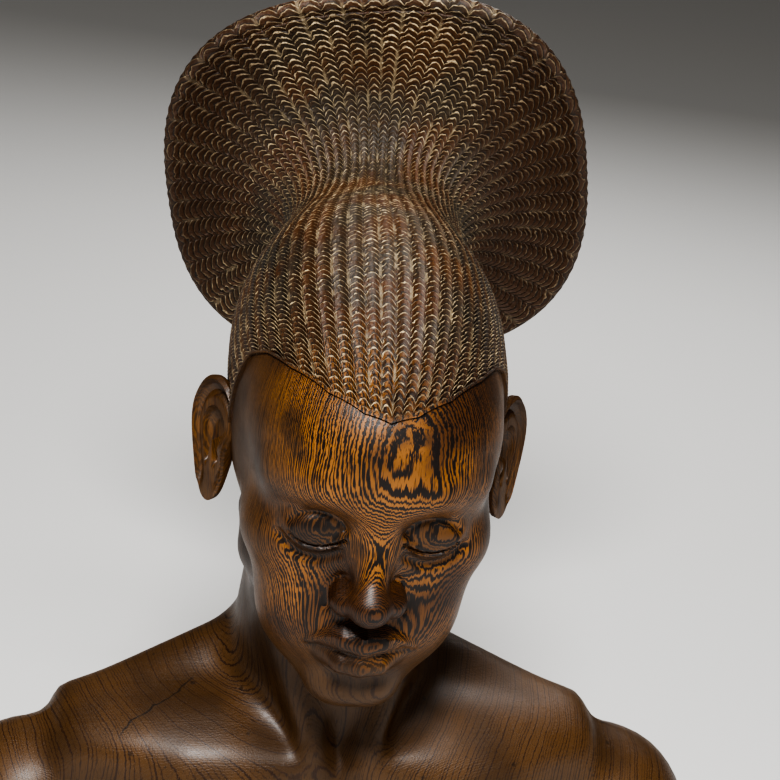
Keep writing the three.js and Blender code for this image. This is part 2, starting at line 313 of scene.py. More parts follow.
@dataclass(frozen=True)
class Head:
    """The head's masses, in its own frame: the middle between the ear openings, face towards -Y.

    Attributes:
        breadth: The skull's breadth.
        brow: The brows' height.
        third: A third of the face, from hairline to brow, brow to nose base, nose base to chin.
        eye: The eyes' height.
        skull_rise: How far the long skull rises backwards, in degrees.
        pose: How the head is carried.
    """

    breadth: float = 150.0
    brow: float = 36.0
    third: float = 68.0
    eye: float = 14.0
    skull_rise: float = 6.0
    pose: HeadPose = field(default_factory=HeadPose)

    @property
    def nose_base(self) -> float:
        """The height of the nose's base."""
        return self.brow - self.third

    @property
    def mouth(self) -> float:
        """The height of the line between the lips."""
        return self.nose_base - self.third / 3

    @property
    def chin(self) -> float:
        """The height of the chin's underside."""
        return self.nose_base - self.third

    def skull(self) -> list[Touch]:
        """Returns the large masses of skull, cheeks and jaw."""
        brow, chin = self.brow, self.chin
        return [
            Touch(Ball((0, 22, 44), (self.breadth / 2, 118, 82), math.radians(self.skull_rise)), 1),
            Touch(Ball((0, -40, 44), (62, 54, 52)), 22),
            Touch(Ball((0, -2, 4), (69, 48, 48)), 20),
            Touch(Ball((0, -38, -10), (60, 54, 66)), 20),
            Touch(Roll(((47, -12, -50), (13, -76, chin + 14)), 16, 14), 18),
            Touch(Ball((0, -42, -56), (42, 48, 38)), 14),
            Touch(Ball((0, -84, chin + 14), (19, 14, 13)), 14),
            Touch(Ball((46, -55, -8), (19, 22, 17)), 20),
            Touch(Ball((28, -62, -46), (26, 26, 32)), 20),
            Touch(Ball((0, -77, self.nose_base - 20), (29, 23, 26)), 14),
            Touch(Roll(((8, -84, brow - 1), (28, -83, brow + 2), (48, -64, brow - 3)), 10, 8), 16),
        ]

    def eyes(self, bare: list[Touch]) -> list[Touch]:
        """Returns the sockets and the lowered lids with their crease and the line between them.

        Args:
            bare: The touches before these.
        """
        eye, across = self.eye, self.breadth / 5
        globes = [
            Touch(Ball((across, -103, eye + 1), (18, 17, 12)), 12, cut=True),
            Touch(Ball((across + 0.5, -77, eye - 2), (18, 14, 12.5)), 7),
        ]
        crease = ((16, eye + 2), (21, eye + 7.5), (30, eye + 10), (39, eye + 7.5), (45, eye + 2))
        meeting = (
            *((15.5, eye - 4.5), (20, eye - 7.5), (27, eye - 10)),
            *((34, eye - 10), (40, eye - 8), (45, eye - 4.5)),
        )
        pouch = ((18, eye - 13), (28, eye - 19), (40, eye - 18), (49, eye - 11))
        lids = self.pressed(bare + globes, meeting)
        return [
            *globes,
            Touch(Roll(self.pressed(bare + globes, crease), 1.0, 0.5), 3.5, cut=True),
            Touch(Roll(tuple((x, y + 0.4, z + 1.9) for x, y, z in lids), 1.6, 0.7), 2.2),
            Touch(Roll(tuple((x, y + 0.6, z - 1.9) for x, y, z in lids), 1.5, 0.7), 2.6),
            Touch(Roll(lids, 0.9, 0.5), 0.9, cut=True),
            Touch(Roll(self.pressed(bare + globes, pouch), 1.2), 5, cut=True),
        ]

    def nose(self, bare: list[Touch]) -> list[Touch]:
        """Returns the nose: bridge, tip, wings, their folds, nostrils and the groove to the lip.

        Args:
            bare: The touches before these.
        """
        base = self.nose_base
        solid = [
            Touch(Roll(((0, -84, 26), (0, -93, 6), (0, -105, base + 14)), 7, 9), 12),
            Touch(Ball((0, -110, base + 11), (11, 9.5, 9.5)), 8),
            Touch(Ball((13, -97, base + 8.5), (8, 11, 8.5)), 6),
        ]
        fold = ((14.5, base + 19), (19.5, base + 15), (22, base + 8), (20.5, base + 1))
        return [
            *solid,
            Touch(Roll(self.pressed(bare + solid, fold), 0.9), 3.5, cut=True),
            Touch(Ball((7.5, -102, base - 1.5), (4.2, 6, 4.5)), 3, cut=True),
            Touch(Roll(((0, -104, base), (0, -109, base - 10)), 2.2, 3.0), 6, cut=True),
        ]

    def lips(self, bare: list[Touch]) -> list[Touch]:
        """Returns the closed lips, the line between them, their corners and the groove under them.

        Args:
            bare: The touches before these.
        """
        mouth = self.mouth
        upper = ((0, -99.5, mouth + 6), (9, -99, mouth + 7), (19, -92, mouth + 4), (28, -83, mouth))
        lower = ((0, -98.5, mouth - 8), (9, -98, mouth - 8), (18, -91, mouth - 6), (27, -83, mouth - 1))
        full = [Touch(Roll(upper, 9.4, 3.5), 3.5), Touch(Roll(lower, 10.4, 3.5), 3)]
        line = ((0, mouth), (7, mouth + 0.9), (14, mouth + 0.4), (21, mouth - 0.6), (27, mouth - 1.8))
        edge = ((0, mouth + 12.6), (5, mouth + 14.2), (13, mouth + 12), (22, mouth + 6), (29, mouth))
        return [
            *full,
            Touch(Roll(self.pressed(bare + full, line), 1.5, 0.8), 1.8, cut=True),
            Touch(Roll(self.pressed(bare + full, edge), 0.9), 3),
            Touch(Roll(((0, -107, mouth - 21), (12, -101, mouth - 20)), 4.5, 3), 9, cut=True),
        ]

    @staticmethod
    def pressed(bare: list[Touch], marks: Sequence[tuple[float, float]]) -> tuple[Point, ...]:
        """Presses a line onto the front of the skin.

        Args:
            bare: The touches that make the skin.
            marks: The line's points, each across and up.

        Returns:
            A fine path on the skin, smoothly through the marks.
        """
        fine = 3
        marks = np.array(marks, float)
        slopes = np.gradient(marks, axis=0)
        steps = np.arange((len(marks) - 1) * fine + 1) / fine
        low = np.minimum(steps.astype(int), len(marks) - 2)
        share = (steps - low)[:, None]
        near, far = 2 * share**3 - 3 * share**2, share**3 - share**2
        line = marks[low] * (1 + near) - marks[low + 1] * near
        line = line + slopes[low] * (far - share**2 + share) + slopes[low + 1] * far
        feet = np.stack([line[:, 0], np.full(len(line), -45.0), line[:, 1]], axis=1)
        rays = np.tile((0.0, -1.0, 0.0), (len(line), 1))
        return tuple(map(tuple, find_skin(lambda points: modelled(bare, folded(points)), feet, rays)))

    def touches(self) -> list[Touch]:
        """Returns all of the head's touches in order."""
        touches = self.skull()
        for feature in (self.eyes, self.nose, self.lips):
            touches += feature(touches)
        return touches

    def depth(self) -> Depth:
        """Returns the distance to the head's skin, for points of its own frame."""
        touches = self.touches()
        return lambda points: modelled(touches, folded(points))


# ---- Neck and shoulders ----


@dataclass(frozen=True)
class Torso:
    """The masses of the neck and shoulders, in the bust's frame.

    Attributes:
        breadth: Across the shoulders.
        roll: How far the left shoulder stands higher, in degrees.
        pivot: The height about which the shoulders are so tilted.
        neck_radius: The neck's radius at its foot.
        neck_top: Where the neck meets the head, in the bust's frame.
    """

    breadth: float = 440.0
    roll: float = 0.8
    pivot: float = 200.0
    neck_radius: float = 59.0
    neck_top: Point = (0.0, 0.0, 240.0)

    def muscles(self) -> list[Touch]:
        """Returns the masses that are alike on both sides."""
        arm = self.breadth / 2 - 44
        return [
            Touch(Ball((0, 8, 0), (150, 84, 108)), 1),
            Touch(Roll(((22, 32, 131), (144, 12, 83)), 25, 20), 22),
            Touch(Roll(((60, -10, 72), (arm - 4, 2, 50)), 38, 32), 26),
            Touch(Ball((84, -14, 86), (66, 34, 22)), 24),
            Touch(Ball((140, 4, 78), (26, 28, 17)), 20),
            Touch(Ball((arm, 4, 33), (45, 47, 48)), 11),
            Touch(Roll(((arm, 6, 22), (arm + 2, 8, -60)), 41, 38), 16),
            Touch(Ball((68, -36, 4), (74, 44, 76)), 24),
            Touch(Roll(((14, -48, 86), (84, -42, 84), (156, -8, 80)), 8.5, 7.5), 16),
            Touch(Roll(((50, -8, 226), (16, -49, 98)), 12, 7.5), 9),
            Touch(Ball((0, -67, 102), (10, 16, 15)), 10, cut=True),
            Touch(Roll(((166, -50, 83), (166, 4, 100), (166, 50, 81)), 5), 16, cut=True),
        ]

    def depth(self, points: Array) -> Array:
        """Returns the distance of points of the bust's frame to its skin."""
        neck = Roll(((0, 20, 90), self.neck_top), self.neck_radius, self.neck_radius - 7)
        gullet = Ball((0, -42, 150), (9, 12, 14))
        lean = np.array(Matrix.Rotation(math.radians(self.roll), 3, "Y"))
        pivot = np.array([0.0, 0.0, self.pivot])
        sides = modelled(self.muscles(), folded((points - pivot) @ lean.T + pivot))
        return join(join(sides, neck.distance(points), 16), gullet.distance(points), 12)


# ---- Figure: the skin of head, neck and shoulders ----

# How the rays that find the skin are set, from the crown down to the flat cut: share of the way down,
# height of the ray's foot, its place front to back, its reach sideways, and its elevation in degrees at the
# sides, the front and the back.
FIGURE_RAYS = np.array(
    [
        (0, 275, -10, 0, 90, 90, 90),
        (0.05, 275, -14, 0, 66, 58, 74),
        (0.1, 270, -20, 0, 46, 40, 60),
        (0.2, 262, -25, 0, 30, 20, 45),
        (0.29, 262, -25, 0, 16, 7, 30),
        (0.37, 256, -25, 0, 6, -3, 18),
        (0.46, 250, -25, 0, -4, -17, 8),
        (0.51, 247, -25, 0, -10, -27, 3),
        (0.57, 242, -25, 0, -18, -37, -2),
        (0.63, 236, -24, 0, -27, -49, -8),
        (0.67, 226, -22, 0, -34, -62, -8),
        (0.71, 190, -12, 0, -18, -44, -5),
        (0.745, 158, -4, 0, 0, -16, 0),
        (0.77, 136, 0, 0, 10, -4, 3),
        (0.785, 124, 0, 12, 22, 2, 6),
        (0.805, 108, 0, 32, 44, 8, 10),
        (0.84, 82, 1, 64, 64, 20, 15),
        (0.875, 64, 2, 96, 62, 15, 13),
        (0.905, 52, 3, 116, 44, 8, 7),
        (0.935, 46, 4, 124, 20, -2, -2),
        (0.96, 40, 5, 126, 0, -10, -10),
        (0.98, 20, 6, 126, 0, -5, -5),
        (1, 0, 6, 126, 0, 0, 0),
    ]
)


@dataclass
class Figure:
    """The skin of head, neck and shoulders as one closed shell.

    Attributes:
        head: The head.
        torso: The neck and shoulders.
        rows: Rows of vertices from the crown to the flat cut.
        around: Vertices round each row.
    """

    head: Head
    torso: Torso
    rows: int = 236
    around: int = 208

    def depth(self) -> Depth:
        """Returns the distance to the whole skin, for points of the bust's frame."""
        head, pose = self.head.depth(), self.head.pose
        return lambda points: join(head(pose.to_head(points)), self.torso.depth(points), 10)

    def row_shares(self) -> Array:
        """Returns each row's share of the way down, with most rows on the face."""
        row = np.arange(self.rows) / (self.rows - 1)
        return np.interp(row, (0, 0.05, 0.7, 0.82, 1), (0, 0.2, 0.67, 0.8, 1))

    def build(self) -> bpy.types.Object:
        """Returns the shell."""
        share = self.row_shares()
        height, back, reach, side, front, behind = (
            np.interp(share, FIGURE_RAYS[:, 0], FIGURE_RAYS[:, column])[:, None] for column in range(1, 7)
        )
        lower = smoothstep(0.66, 0.8, share)[:, None]
        turn = (np.arange(self.around) / self.around * math.tau)[None, :]
        bearing = turn - (0.55 - 0.27 * lower) * np.sin(turn)
        ahead = np.cos(bearing)
        rise = np.radians(side + (np.where(ahead > 0, front, behind) - side) * ahead**2)
        bearing = bearing + math.radians(self.head.pose.turn) * (1 - lower)
        flat = np.cos(rise)
        rays = np.stack([np.sin(bearing) * flat, -np.cos(bearing) * flat, np.sin(rise)], axis=2)
        zero = np.zeros_like(rise)
        feet = np.stack([reach * np.sin(bearing), back + zero, height + zero], axis=2)
        skin = find_skin(self.depth(), feet.reshape(-1, 3), rays.reshape(-1, 3)).reshape(rays.shape)
        skin[-1, :, 2] = 0
        skin[0] = skin[0].mean(axis=0)
        foot = np.broadcast_to(np.array([0.0, 6.0, 0.0]), (1, self.around, 3))
        shell, _, _ = moulded("skin", np.concatenate([skin, foot]))
        return shell


# ---- Coiffure: braided cap, waist, flare, rim and dished back ----

# The hairline: angle round from the top against angle from the coiffure's axis, in degrees.
HAIRLINE = np.array(
    [
        *((0, 152), (15, 149), (30, 141), (44, 127), (54, 113)),
        *((64, 104), (90, 100), (115, 96), (150, 78), (180, 70)),
    ]
)


@dataclass
class Coiffure:
    """The hair as one closed shell with its braids.

    Attributes:
        head: The head that it covers.
        centre: Where its axis starts, in the head's frame.
        relief: How far it stands proud of the skin.
        waist_at: Where the waist is along the axis.
        waist_radius: The waist's radius.
        flare_depth: How far the flare reaches behind the waist.
        sway: How far the drawn-out hair veers to one side, as a share of its length.
        half_width: Half the disc's width.
        half_height: Half the disc's height.
        squareness: The exponent of the rim's oval, where 2 is an ellipse.
        lean: How far the disc's top leans forward of square to the axis, in degrees.
        roll: How far round from the head's upright the oval stands, in degrees.
        thickness: The disc's thickness at its rim.
        dish: How deep the back is dished.
        rings: Gouged rings on the dished back.
        braids: Braids side by side round the axis.
        cells: Columns of vertices in a braid.
        cap_strands: Strands from the hairline to the waist.
        flare_strands: Strands from the waist to the rim.
        arch: How far a strand's ends fall back from its crest, in strands.
    """

    head: Head
    centre: Point = (0.0, 12.0, 40.0)
    relief: float = 1.6
    waist_at: float = 158.0
    waist_radius: float = 49.0
    flare_depth: float = 54.0
    sway: float = 0.085
    half_width: float = 124.0
    half_height: float = 122.0
    squareness: float = 2.6
    lean: float = -2.0
    roll: float = -12.0
    thickness: float = 11.0
    dish: float = 12.0
    rings: int = 5
    braids: int = 56
    cells: int = 4
    cap_strands: int = 60
    flare_strands: int = 28
    arch: float = 0.95

    ROOT_DEPTH = 7.0
    ROOT_START = -30.0
    RING_HEIGHT = 0.7
    BEAD_HEIGHT = 0.35
    ROLL_ROWS = 12
    DISH_ROWS = 20
    STRAND_ROWS = (0.0, 0.86)
    STRAND_HEIGHTS = (-0.55, 0.55)

    def about_axis(self, along: Array, out: Array, angle: Array) -> Array:
        """Returns points of the head's frame from their places about the axis.

        Args:
            along: Distances along the axis.
            out: Distances out from it.
            angle: Angles round from the top, in radians.
        """
        rise = math.radians(self.head.skull_rise)
        up = np.cos(angle) * out
        x = self.sway * np.maximum(along, 0) + np.sin(angle) * out
        y = self.centre[1] + math.cos(rise) * along - math.sin(rise) * up
        z = self.centre[2] + math.sin(rise) * along + math.cos(rise) * up
        return np.stack(np.broadcast_arrays(x, y, z), axis=-1)

    def on_axis(self, along: float) -> Array:
        """Returns the axis's point at a distance along it."""
        return self.about_axis(np.array(along), np.array(0.0), np.array(0.0))

    def depth(self, points: Array) -> Array:
        """Returns the distance to the head with its drawn-out hair, in the head's frame."""
        ends = (self.on_axis(60.0), self.on_axis(self.waist_at + 12))
        tube = Roll(tuple(tuple(end) for end in ends), 57, self.waist_radius)
        bald = modelled(self.head.skull(), folded(points))
        return join(bald, tube.distance(points), 34)

    def hairline(self, angle: Array) -> Array:
        """Returns the hairline's angle from the axis, in radians, at angles round from the top."""
        round_about = np.degrees(np.abs(np.arctan2(np.sin(angle), np.cos(angle))))
        return np.radians(np.interp(round_about, HAIRLINE[:, 0], HAIRLINE[:, 1]))

    def cap(self, angle: Array, share: Array, proud: Array | float) -> Array:
        """Returns points of the cap.

        Args:
            angle: Angles round from the top.
            share: Shares of the way from hairline to waist.
            proud: How far the points stand proud of the skin.
        """
        polar = self.hairline(angle)
        polar = polar + (math.pi / 2 - polar) * np.minimum(1, share * 1.4)
        along = self.waist_at * share**1.2
        feet = self.about_axis(along, np.zeros_like(along), angle)
        rays = self.about_axis(along + np.cos(polar), np.sin(polar), angle) - feet
        rays[..., 0] -= self.sway * (np.maximum(along + np.cos(polar), 0) - along)
        flat = rays.reshape(-1, 3)
        skin = find_skin(self.depth, feet.reshape(-1, 3), flat).reshape(feet.shape)
        return skin + rays * np.asarray(proud)[..., None]

    def rim(self, angle: Array) -> Array:
        """Returns the rim's distance out from the axis."""
        turned = angle - math.radians(self.roll)
        across = np.abs(np.sin(turned)) / self.half_width
        upright = np.abs(np.cos(turned)) / self.half_height
        return (across**self.squareness + upright**self.squareness) ** (-1 / self.squareness)

    def disc_front(self, angle: Array, out: Array) -> Array:
        """Returns where the disc's front lies along the axis, at distances out from it."""
        slope = np.cos(angle) * math.tan(math.radians(self.lean)) + np.sin(angle) * self.sway
        return self.waist_at + self.flare_depth - out * slope

    def flare(self, angle: Array, share: Array) -> Array:
        """Returns points of the flare at shares of the way from waist to rim."""
        one = np.ones_like(angle[:1])
        waist = self.cap(angle[:1], one, self.relief * one)
        middle = self.about_axis(self.waist_at * one, 0 * one, angle[:1])
        root = np.linalg.norm(waist - middle, axis=-1)
        rim = self.rim(angle)
        sweep = share * math.pi / 2
        along = self.waist_at + (self.disc_front(angle, rim) - self.waist_at) * np.sin(sweep)
        return self.about_axis(along, root + (rim - root) * (1 - np.cos(sweep)), angle)

    def front(self, angle: Array, share: Array) -> Array:
        """Returns points at shares of the way from hairline (0) through the waist (1) to the rim (2)."""
        cap = self.cap(angle, np.minimum(share, 1), self.relief)
        return np.where(share[..., None] <= 1, cap, self.flare(angle, np.clip(share - 1, 0, 1)))

    def even_shares(self, angle: Array, strand: Array) -> Array:
        """Returns the shares at which strands lie evenly along each column.

        Args:
            angle: The columns' angles, one row.
            strand: Strand coordinates, from 0 at the hairline to the rim's, as [row, column].
        """
        samples = np.linspace(0, 2, 61)[:, None]
        steps = np.diff(self.front(angle + 0 * samples, samples + 0 * angle), axis=0)
        run = np.concatenate([0 * angle, np.cumsum(np.linalg.norm(steps, axis=2), axis=0)])
        waist = len(samples) // 2
        shares = np.empty_like(strand)
        for column in range(strand.shape[1]):
            path = run[:, column]
            marks = np.interp(
                strand[:, column],
                (0, self.cap_strands, self.cap_strands + self.flare_strands),
                (0, path[waist], path[-1]),
            )
            shares[:, column] = np.interp(marks, path, samples[:, 0])
        return shares

    def rolled(self, angle: Array, share: Array) -> Array:
        """Returns points of the rolled rim at shares of the way from its front to its back."""
        rim, half, swing = self.rim(angle), self.thickness / 2, share * math.pi
        along = self.disc_front(angle, rim) + half * (1 - np.cos(swing))
        return self.about_axis(along, rim + half * np.sin(swing), angle)

    def dished(self, angle: Array, share: Array) -> Array:
        """Returns points of the dished back at shares of the way from the rim to the middle."""
        out = self.rim(angle) * (1 - share)
        hollow = self.dish * smoothstep(0, 0.8, share)
        fade = smoothstep(0, 0.1, share) * smoothstep(1, 0.85, share)
        rings = self.RING_HEIGHT * np.cos(share * math.tau * self.rings) * fade
        return self.about_axis(self.disc_front(angle, out) + self.thickness - hollow + rings, out, angle)

    def build(self) -> bpy.types.Object:
        """Returns the shell, with a UV map that holds each point's braid and strand coordinates."""
        strands = self.cap_strands + self.flare_strands
        around = self.braids * self.cells
        braid = np.arange(around)[None, :] / self.cells
        turn = braid / self.braids * math.tau
        angle = -(turn - 0.11 * np.sin(turn))
        crest = 1 - np.abs(2 * (braid % 1) - 1)
        line = (np.arange(strands)[:, None] + np.array(self.STRAND_ROWS)[None, :]).ravel()[:, None]
        ease = np.minimum(smoothstep(0, 3, line), smoothstep(strands, strands - 3, line))
        strand = np.clip(line - self.arch * (1 - crest) ** 1.7 * ease, 0, strands)
        everywhere = angle + 0 * strand
        base = self.front(everywhere, self.even_shares(angle, strand))
        step = np.tile(np.array(self.STRAND_HEIGHTS), strands)[:, None]
        deepening = smoothstep(self.cap_strands - 12, self.cap_strands + 8, line)
        valley = (-0.35 - 0.6 * deepening) * (1 - crest) ** 2
        relief = (step * (0.55 + 0.45 * crest) + valley) * smoothstep(0, 1.2, line)
        front = base + grid_normals(base) * relief[..., None]

        def shares(count: int) -> Array:
            return (np.arange(count) / count)[:, None] + 0 * angle

        root = self.cap(angle + 0 * angle, 0 * angle, -self.ROOT_DEPTH)
        pole = np.broadcast_to(self.on_axis(self.ROOT_START), root.shape)
        roll_share, dish_share = shares(self.ROLL_ROWS), shares(self.DISH_ROWS)
        roll = self.rolled(angle + 0 * roll_share, roll_share)
        twist = np.sin(math.tau * (2 * braid + 1.5 * roll_share))
        bead = self.BEAD_HEIGHT * twist * np.sin(math.pi * roll_share)
        roll = roll + grid_normals(roll) * bead[..., None]
        dish = self.dished(angle + 0 * dish_share, dish_share)
        middle = self.dished(0 * angle, 0 * angle + 1)
        places = self.head.pose.to_bust(np.concatenate([pole, root, front, roll, dish, middle]))
        shell, row, column = moulded("hair", places)
        behind = np.arange(self.ROLL_ROWS + self.DISH_ROWS + 1)[:, None] / 3 + strands + 0 * angle
        chart = np.concatenate([0 * angle - 1, 0 * angle - 0.5, strand, behind])
        self.chart(shell, row, column, chart)
        return shell

    def chart(self, shell: bpy.types.Object, row: Array, column: Array, strand: Array) -> None:
        """Writes the braid and strand coordinates to the shell's UV map.

        Args:
            shell: The coiffure's shell.
            row: Each vertex's row.
            column: Each vertex's column.
            strand: The strand coordinate at each row and column.
        """
        mesh = shell.data
        corners = np.empty(len(mesh.loops), int)
        mesh.loops.foreach_get("vertex_index", corners)
        totals = np.empty(len(mesh.polygons), int)
        mesh.polygons.foreach_get("loop_total", totals)
        face = np.repeat(np.arange(len(totals)), totals)
        across = column[corners].astype(float)
        widest = np.zeros(len(totals))
        np.maximum.at(widest, face, across)
        around = self.braids * self.cells
        across += np.where((widest[face] > around * 0.75) & (across < around * 0.25), around, 0)
        uv = np.stack([across / self.cells, strand[row[corners], column[corners]]], axis=1)
        mesh.uv_layers.active.data.foreach_set("uv", uv.ravel())


# ---- Ears ----


class Side(Enum):
    """The bust's two sides, as the sign of X."""

    LEFT = 1
    RIGHT = -1


# The ear from its bowl over its rim to its root: row, share of the outline's radius, height.
EAR_SECTION = np.array(
    [
        (0, 0, -5.5),
        (8, 0.3, -5.5),
        (12, 0.44, -3),
        (15, 0.52, 0.6),
        (19, 0.66, 0.2),
        (23, 0.76, -2.2),
        (27, 0.86, -0.6),
        (31, 0.94, 2.4),
        (34, 1, 0.6),
        (36, 0.985, -2.4),
        (40, 0.86, -5),
        (46, 0.6, -10),
        (52, 0, -22),
    ]
)


@dataclass
class Ear:
    """One ear as a closed shell: bowl, inner ridge, furrow, rolled rim and lobe.

    Attributes:
        side: The side it is on.
        pose: How the head is carried.
        length: Its length.
        width: Its width.
        place: Its middle on the left side, in the head's frame.
        lean: How far its top leans back, in degrees.
        flare: How far its back edge stands off, in degrees.
        around: Vertices round each row.
    """

    side: Side
    pose: HeadPose
    length: float = 73.0
    width: float = 38.0
    place: Point = (82.0, 10.0, 5.0)
    lean: float = 12.0
    flare: float = 38.0
    around: int = 52

    RIM_ROW = 34
    FLAP_HEIGHT = 3.0

    def build(self) -> bpy.types.Object:
        """Returns the shell."""
        rows = int(EAR_SECTION[-1, 0])
        row = np.arange(rows + 1)[:, None]
        turn = (np.arange(self.around) / self.around * math.tau)[None, :]
        angle = -self.side.value * turn + 0 * row
        reach = np.interp(row, EAR_SECTION[:, 0], EAR_SECTION[:, 1]) + 0 * angle
        height = np.interp(row, EAR_SECTION[:, 0], EAR_SECTION[:, 2]) + 0 * angle
        height = self.shaped(angle, reach, height, row)
        top = smoothstep(-0.6, 0.8, np.cos(angle))
        back = np.sin(angle) * self.width * (0.36 + 0.18 * top) * reach
        up = np.cos(angle) * self.length / 2 * reach
        flare, lean = math.radians(self.flare), math.radians(self.lean)
        out = height * math.cos(flare) + back * math.sin(flare)
        along = back * math.cos(flare) - height * math.sin(flare)
        x = self.side.value * (self.place[0] + out)
        y = self.place[1] + along * math.cos(lean) + up * math.sin(lean)
        z = self.place[2] + up * math.cos(lean) - along * math.sin(lean)
        shell, _, _ = moulded(f"ear_{self.side.name.lower()}", self.pose.to_bust(np.stack([x, y, z], axis=2)))
        return shell

    def shaped(self, angle: Array, reach: Array, height: Array, row: Array) -> Array:
        """Returns the heights changed round the ear: a flat full lobe and a small flap over the opening."""
        front_face = row <= self.RIM_ROW
        lobe = smoothstep(0.72, 0.95, -np.cos(angle)) * front_face
        height = height * (1 - lobe) + 1.2 * lobe
        forward = smoothstep(0.6, 1.0, -np.sin(angle)) * smoothstep(0.25, 0.45, reach) * front_face
        flap = forward * smoothstep(0.5, 0.0, np.abs(np.cos(angle) + 0.12))
        return height + self.FLAP_HEIGHT * flap


# ---- Finishes ----


class Signal:
    """A shader value that ordinary arithmetic works on, adding the Math nodes."""

    def __init__(self, bench: "Bench", socket: bpy.types.NodeSocket) -> None:
        """Wraps a socket of the bench's tree."""
        self.bench = bench
        self.socket = socket

    def __add__(self, other: "Signal | float") -> "Signal":
        """Returns the sum."""
        return self.bench.math("ADD", self, other)

    def __radd__(self, other: float) -> "Signal":
        """Returns the sum."""
        return self.bench.math("ADD", other, self)

    def __sub__(self, other: "Signal | float") -> "Signal":
        """Returns the difference."""
        return self.bench.math("SUBTRACT", self, other)

    def __rsub__(self, other: float) -> "Signal":
        """Returns the difference."""
        return self.bench.math("SUBTRACT", other, self)

    def __mul__(self, other: "Signal | float") -> "Signal":
        """Returns the product."""
        return self.bench.math("MULTIPLY", self, other)

    def __rmul__(self, other: float) -> "Signal":
        """Returns the product."""
        return self.bench.math("MULTIPLY", other, self)

    def __truediv__(self, other: "Signal | float") -> "Signal":
        """Returns the quotient."""
        return self.bench.math("DIVIDE", self, other)

    def __pow__(self, other: float) -> "Signal":
        """Returns the power."""
        return self.bench.math("POWER", self, other)


Input = Signal | float | tuple


class Bench:
    """A material's node tree, laid out by code."""

    def __init__(self, name: str) -> None:
        """Starts an empty material of that name."""
        self.material = bpy.data.materials.new(name)
        self.material.use_nodes = True
        self.tree = self.material.node_tree
        self.tree.nodes.clear()

    def node(self, kind: str, settings: dict[str, object], sockets: dict[str | int, Input]) -> bpy.types.Node:
        """Adds a node.

        Args:
            kind: The node's type.
            settings: What is set on it first.
            sockets: The values or links of its input sockets, by name or number.

        Returns:
            The node.
        """
        node = self.tree.nodes.new(kind)
        for key, value in settings.items():
            setattr(node, key, value)
        for key, value in sockets.items():
            if isinstance(value, Signal):
                self.tree.links.new(value.socket, node.inputs[key])
            else:
                node.inputs[key].default_value = value
        return node

    def math(self, operation: str, first: Input, second: Input = 0.0) -> Signal:
        """Returns a Math node's value."""
        node = self.node("ShaderNodeMath", {"operation": operation}, {0: first, 1: second})
        return Signal(self, node.outputs[0])

    def vector(self, operation: str, sockets: dict[str | int, Input], output: int | str = 0) -> Signal:
        """Returns a Vector Math node's output."""
        node = self.node("ShaderNodeVectorMath", {"operation": operation}, sockets)
        return Signal(self, node.outputs[output])

    def mix(self, share: Input, first: Input, second: Input) -> Signal:
        """Returns two colours mixed by a share."""
        node = self.node("ShaderNodeMix", {"data_type": "RGBA"}, {0: share, 6: first, 7: second})
        return Signal(self, node.outputs[2])

    def span(self, value: Signal, low: float, high: float) -> Signal:
        """Returns 0 at low, 1 at high and a smooth rise between; low may be the larger."""
        settings = {"interpolation_type": "SMOOTHSTEP"}
        sockets = {0: value, 1: low, 2: high, 3: 0.0, 4: 1.0}
        return Signal(self, self.node("ShaderNodeMapRange", settings, sockets).outputs[0])

    def noise(self, place: Signal, scale: float, detail: float = 2.0, stretch: Point = (1, 1, 1)) -> Signal:
        """Returns a noise from 0 to 1.

        Args:
            place: The coordinates, in millimetres.
            scale: Lumps in a millimetre.
            detail: Octaves of finer noise.
            stretch: The coordinates' scale along each axis.
        """
        moved = self.vector("MULTIPLY", {0: place, 1: stretch})
        sockets = {"Vector": moved, "Scale": scale, "Detail": detail, "Roughness": 0.5}
        return Signal(self, self.node("ShaderNodeTexNoise", {}, sockets).outputs[0])

    def split(self, place: Signal) -> tuple[Signal, Signal, Signal]:
        """Returns a vector's three parts."""
        outputs = self.node("ShaderNodeSeparateXYZ", {}, {0: place}).outputs
        return Signal(self, outputs[0]), Signal(self, outputs[1]), Signal(self, outputs[2])

    def place(self) -> Signal:
        """Returns the object coordinates in millimetres."""
        node = self.node("ShaderNodeTexCoord", {}, {})
        return self.vector("SCALE", {0: Signal(self, node.outputs["Object"]), "Scale": 1 / MM})

    def bump(self, height: Signal, distance: float, strength: float = 1.0) -> Signal:
        """Returns the normal bumped by a height of 0 to 1 over a distance in millimetres."""
        sockets = {"Height": height, "Distance": distance * MM, "Strength": strength}
        return Signal(self, self.node("ShaderNodeBump", {}, sockets).outputs["Normal"])

    def finish(self, sockets: dict[str | int, Input]) -> bpy.types.Material:
        """Ends the tree in a Principled surface with those sockets, and returns the material."""
        surface = self.node("ShaderNodeBsdfPrincipled", {}, sockets)
        self.node("ShaderNodeOutputMaterial", {}, {"Surface": Signal(self, surface.outputs[0])})
        return self.material


